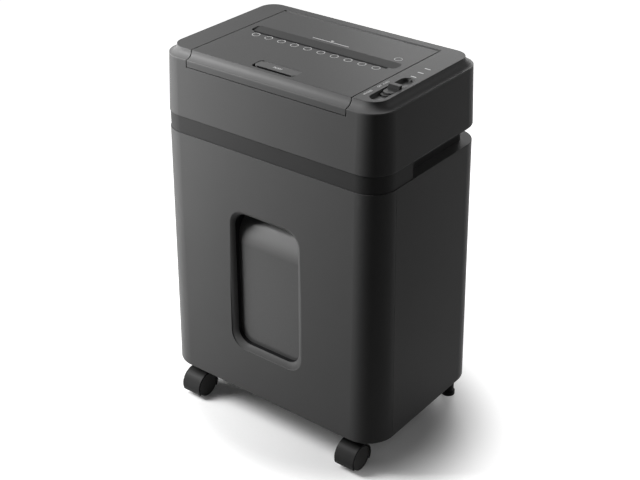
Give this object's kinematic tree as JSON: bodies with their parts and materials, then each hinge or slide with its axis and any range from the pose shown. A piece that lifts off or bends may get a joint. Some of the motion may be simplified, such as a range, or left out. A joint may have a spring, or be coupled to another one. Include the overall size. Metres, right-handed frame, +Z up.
{
  "type": "auto-feed paper shredder",
  "caption": "Grey auto-feed paper shredder with a hinged lid over a sheet tray, a mode slider, a pull-out bin with a smoked window, front casters and rear feet.",
  "frame": {"origin": "on the floor under the middle of the footprint, from the caster hoods to the foot of the cabinet", "axes": "+Z up, -Y to the front where the bin pulls out, +X to the right as seen from the front"},
  "size_m": [0.413, 0.2834, 0.6046],
  "materials": {
    "head_plastic": "fine satin grain",
    "lid_plastic": "fine satin grain",
    "belt_plastic": "satin, darker grey",
    "cabinet_plastic": "satin",
    "bin_plastic": "satin",
    "tub_plastic": "plain black moulding",
    "smoked_pane": "smoked, glossy",
    "tray_plastic": "satin black",
    "caster_plastic": "black, slight sheen",
    "wheel_plastic": "black",
    "slider_plastic": "satin, dark",
    "lens_plastic": "clear white",
    "board_laminate": "green laminate",
    "cutter_steel": "ground, oiled",
    "shaft_steel": "drawn bar",
    "plate_steel": "zinc plated",
    "comb_plastic": "black moulding",
    "gear_nylon": "natural nylon",
    "bush_brass": "turned",
    "motor_steel": "zinc grey can",
    "roller_rubber": "matt rubber"
  },
  "bodies": {
    "case": {"cabinet_shell": "cabinet_plastic", "base_plate": "tub_plastic", "bin_runners": "tub_plastic", "rear_feet": "caster_plastic", "head_shell": "head_plastic", "head_base": "belt_plastic", "cord_inlet": "caster_plastic", "slide_switch": "tub_plastic", "control_board": "board_laminate", "indicator_lenses": "lens_plastic", "lid_hinge_pins": "shaft_steel", "feed_tray": "tray_plastic", "throat_guides": "tray_plastic", "lever_pin": "shaft_steel", "front_comb": "comb_plastic", "rear_comb": "comb_plastic", "left_side_plate": "plate_steel", "right_side_plate": "plate_steel", "shaft_bushes": "bush_brass", "tie_rods": "shaft_steel", "gear_studs": "shaft_steel", "motor_body": "motor_steel"},
    "lid": {"lid": "lid_plastic", "slot_insert": "belt_plastic", "tab_pin": "shaft_steel"},
    "push_tab": {"push_tab": "lid_plastic"},
    "mode_slider": {"mode_slider": "slider_plastic"},
    "bin": {"bin_front": "bin_plastic", "bin_tub": "tub_plastic", "window_liner": "tub_plastic", "window_pane": "smoked_pane", "pocket_shell": "tub_plastic", "bin_screws": "shaft_steel"},
    "front_cutter": {"front_cutter_shaft": "shaft_steel", "front_cutter_discs": "cutter_steel", "front_shaft_gear": "plate_steel", "drive_gear": "plate_steel", "feed_pinion": "gear_nylon"},
    "rear_cutter": {"rear_cutter_shaft": "shaft_steel", "rear_cutter_discs": "cutter_steel", "rear_shaft_gear": "plate_steel"},
    "second_gear": {"second_gear": "gear_nylon"},
    "first_gear": {"first_gear": "gear_nylon"},
    "motor_rotor": {"motor_shaft": "shaft_steel", "motor_pinion": "bush_brass"},
    "idler": {"idler_gear": "gear_nylon"},
    "feed_roller": {"feed_roller_shaft": "shaft_steel", "feed_rollers": "roller_rubber", "feed_gear": "gear_nylon"},
    "sensor_lever": {"sensor_lever": "tray_plastic"},
    "left_caster": {"left_caster_hood": "caster_plastic", "left_caster_stem": "shaft_steel", "left_caster_axle": "shaft_steel"},
    "left_inner_wheel": {"left_caster_inner_wheel": "wheel_plastic"},
    "left_outer_wheel": {"left_caster_outer_wheel": "wheel_plastic"},
    "right_caster": {"right_caster_hood": "caster_plastic", "right_caster_stem": "shaft_steel", "right_caster_axle": "shaft_steel"},
    "right_inner_wheel": {"right_caster_inner_wheel": "wheel_plastic"},
    "right_outer_wheel": {"right_caster_outer_wheel": "wheel_plastic"}
  },
  "joints": [
    {"name": "lid_hinge", "type": "hinge", "parent": "case", "child": "lid", "pos_m": [0, 0.09475, 0.5955], "axis": [-1, 0, 0], "range_deg": [0, 75]},
    {"name": "push_tab_press", "type": "hinge", "parent": "lid", "child": "push_tab", "pos_m": [0, -0.08575, 0.597], "axis": [1, 0, 0], "range_deg": [0, 5], "stiffness_Nm_per_rad": 1},
    {"name": "mode_slide", "type": "slide", "parent": "case", "child": "mode_slider", "axis": [0, 1, 0], "range_m": [-0.012, 0.012]},
    {"name": "bin_slide", "type": "slide", "parent": "case", "child": "bin", "axis": [0, -1, 0], "range_m": [0, 0.22]},
    {"name": "sensor_lever_tilt", "type": "hinge", "parent": "case", "child": "sensor_lever", "pos_m": [0, 0.01725, 0.54751], "axis": [1, 0, 0], "range_deg": [0, 25], "stiffness_Nm_per_rad": 0.01},
    {"name": "front_cutter_spin", "type": "hinge", "parent": "case", "child": "front_cutter", "pos_m": [0, -0.014, 0.5065], "axis": [1, 0, 0], "continuous": true},
    {"name": "rear_cutter_spin", "type": "hinge", "parent": "case", "child": "rear_cutter", "pos_m": [0, 0.0205, 0.5065], "axis": [1, 0, 0], "continuous": true},
    {"name": "second_gear_spin", "type": "hinge", "parent": "case", "child": "second_gear", "pos_m": [0, -0.05, 0.5065], "axis": [1, 0, 0], "continuous": true},
    {"name": "first_gear_spin", "type": "hinge", "parent": "case", "child": "first_gear", "pos_m": [0, -0.07145, 0.52747], "axis": [1, 0, 0], "continuous": true},
    {"name": "motor_spin", "type": "hinge", "parent": "case", "child": "motor_rotor", "pos_m": [0, -0.09075, 0.5045], "axis": [1, 0, 0], "continuous": true},
    {"name": "idler_spin", "type": "hinge", "parent": "case", "child": "idler", "pos_m": [0, -0.01837, 0.5255], "axis": [1, 0, 0], "continuous": true},
    {"name": "feed_roller_spin", "type": "hinge", "parent": "case", "child": "feed_roller", "pos_m": [0, -0.02275, 0.54451], "axis": [1, 0, 0], "continuous": true},
    {"name": "left_caster_swivel", "type": "hinge", "parent": "case", "child": "left_caster", "pos_m": [-0.1555, -0.10425, 0.0435], "axis": [0, 0, 1], "continuous": true},
    {"name": "left_inner_wheel_spin", "type": "hinge", "parent": "left_caster", "child": "left_inner_wheel", "pos_m": [-0.1456, -0.11825, 0.02], "axis": [1, 0, 0], "continuous": true},
    {"name": "left_outer_wheel_spin", "type": "hinge", "parent": "left_caster", "child": "left_outer_wheel", "pos_m": [-0.1654, -0.11825, 0.02], "axis": [1, 0, 0], "continuous": true},
    {"name": "right_caster_swivel", "type": "hinge", "parent": "case", "child": "right_caster", "pos_m": [0.1555, -0.10425, 0.0435], "axis": [0, 0, 1], "continuous": true},
    {"name": "right_inner_wheel_spin", "type": "hinge", "parent": "right_caster", "child": "right_inner_wheel", "pos_m": [0.1456, -0.11825, 0.02], "axis": [1, 0, 0], "continuous": true},
    {"name": "right_outer_wheel_spin", "type": "hinge", "parent": "right_caster", "child": "right_outer_wheel", "pos_m": [0.1654, -0.11825, 0.02], "axis": [1, 0, 0], "continuous": true}
  ],
  "couplings": [
    {"joint": "rear_cutter_spin", "follows": "front_cutter_spin", "ratio": -1},
    {"joint": "second_gear_spin", "follows": "front_cutter_spin", "ratio": -3},
    {"joint": "first_gear_spin", "follows": "front_cutter_spin", "ratio": 12},
    {"joint": "motor_spin", "follows": "front_cutter_spin", "ratio": -60},
    {"joint": "idler_spin", "follows": "front_cutter_spin", "ratio": -1},
    {"joint": "feed_roller_spin", "follows": "front_cutter_spin", "ratio": 1}
  ]
}
